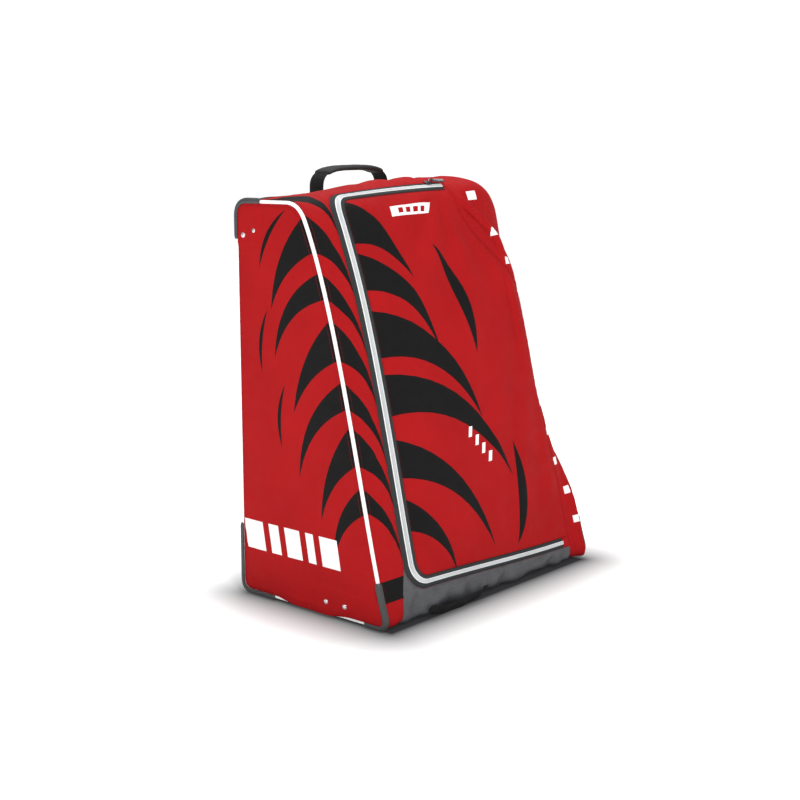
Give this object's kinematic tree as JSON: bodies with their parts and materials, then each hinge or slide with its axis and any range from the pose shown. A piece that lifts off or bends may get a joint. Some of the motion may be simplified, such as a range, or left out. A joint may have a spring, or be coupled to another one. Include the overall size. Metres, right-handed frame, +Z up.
{
  "type": "hockey equipment bag",
  "caption": "Upright wheeled sports equipment bag with a sloped front, a zipped fold-out front door, a fold-up inner shelf and a top carrying handle.",
  "frame": {"origin": "centre of the bag's footprint, on the floor", "axes": "+Z up, -Y out of the sloped front, +X to the right of someone facing the front"},
  "size_m": [0.6458, 0.4047, 0.8271],
  "materials": {
    "red_fabric": "woven polyester, matt with a slight sheen",
    "black_fabric": "woven polyester, matt",
    "charcoal_fabric": "coated ripstop, satin",
    "white_cord": "smooth vinyl piping",
    "grey_plastic": "moulded, satin",
    "black_plastic": "moulded, matt",
    "zip_metal": "plated die casting",
    "zip_tape": "woven tape with plastic coil teeth",
    "rivet_steel": "polished dome",
    "board": "stiff sheet, matt",
    "tyre": "matt rubber",
    "webbing": "woven webbing",
    "mesh_fabric": "open mesh",
    "blank_patch": "smooth printed patch with no mark"
  },
  "bodies": {
    "shell": {"axle_left": "rivet_steel", "axle_right": "rivet_steel", "back_board": "board", "back_panel": "black_fabric", "base_board": "board", "base_panel": "black_fabric", "corner_guard_bottom_back_left": "grey_plastic", "corner_guard_bottom_back_right": "grey_plastic", "corner_guard_bottom_front_left": "grey_plastic", "corner_guard_bottom_front_right": "grey_plastic", "corner_guard_top_back_left": "grey_plastic", "corner_guard_top_back_right": "grey_plastic", "corner_plate_bottom_left": "board", "corner_plate_bottom_right": "board", "corner_plate_top_left": "board", "corner_plate_top_right": "board", "front_foot_left": "black_plastic", "front_foot_right": "black_plastic", "front_gusset": "red_fabric", "front_strip_left": "red_fabric", "front_strip_right": "red_fabric", "handle_anchor_left": "webbing", "handle_anchor_right": "webbing", "kick_panel": "charcoal_fabric", "low_handle_anchor_left": "webbing", "low_handle_anchor_right": "webbing", "piping_left": "white_cord", "piping_right": "white_cord", "rivet_bottom_left_1": "rivet_steel", "rivet_bottom_left_2": "rivet_steel", "rivet_bottom_right_1": "rivet_steel", "rivet_bottom_right_2": "rivet_steel", "rivet_top_left_1": "rivet_steel", "rivet_top_left_2": "rivet_steel", "rivet_top_right_1": "rivet_steel", "rivet_top_right_2": "rivet_steel", "shelf_batten": "board", "shelf_ledge_left": "board", "shelf_ledge_right": "board", "side_panel_left": "red_fabric", "side_panel_right": "red_fabric", "top_panel": "red_fabric", "wheel_housing_left": "black_plastic", "wheel_housing_right": "black_plastic", "zip_end_tab": "red_fabric", "zip_shell_side": "zip_tape"},
    "door": {"door_panel": "red_fabric", "zip_door_side": "zip_tape", "blank_patch": "blank_patch", "door_mesh_pocket": "mesh_fabric"},
    "zip_slider": {"zip_slider": "zip_metal"},
    "zip_pull": {"zip_pull_tab": "zip_metal"},
    "top_handle": {"top_handle_webbing": "webbing", "top_handle_wrap": "black_fabric"},
    "low_handle": {"low_handle_webbing": "webbing"},
    "wheel_left": {"wheel_hub_left": "grey_plastic", "wheel_tread_left": "tyre"},
    "wheel_right": {"wheel_hub_right": "grey_plastic", "wheel_tread_right": "tyre"},
    "shelf": {"shelf_board": "black_fabric"}
  },
  "joints": [
    {"name": "door_hinge", "type": "hinge", "parent": "shell", "child": "door", "pos_m": [0.25598, -0.20088, 0.06531], "axis": [-0.1999, 0.2727, 0.9411], "range_deg": [0, 120]},
    {"name": "zip_slide", "type": "slide", "parent": "shell", "child": "zip_slider", "axis": [-0.9989, 0, -0.047], "range_m": [0, 0.15]},
    {"name": "zip_pull_hinge", "type": "hinge", "parent": "zip_slider", "child": "zip_pull", "pos_m": [0.06562, 0.03633, 0.79664], "axis": [0.0245, -0.8533, -0.5209], "range_deg": [0, 150]},
    {"name": "top_handle_hinge", "type": "hinge", "parent": "shell", "child": "top_handle", "pos_m": [-0.026, 0.1725, 0.77934], "axis": [0.9999, 0, 0.0156], "range_deg": [-45, 45]},
    {"name": "low_handle_hinge", "type": "hinge", "parent": "shell", "child": "low_handle", "pos_m": [-0.125, -0.196, 0.026], "axis": [-1, 0, 0], "range_deg": [0, 100]},
    {"name": "wheel_left_spin", "type": "hinge", "parent": "shell", "child": "wheel_left", "pos_m": [-0.254, 0.1645, 0.038], "axis": [1, 0, 0], "continuous": true},
    {"name": "wheel_right_spin", "type": "hinge", "parent": "shell", "child": "wheel_right", "pos_m": [0.254, 0.1645, 0.038], "axis": [1, 0, 0], "continuous": true},
    {"name": "shelf_hinge", "type": "hinge", "parent": "shell", "child": "shelf", "pos_m": [0, 0.1675, 0.4], "axis": [-1, 0, 0], "range_deg": [0, 80]}
  ]
}
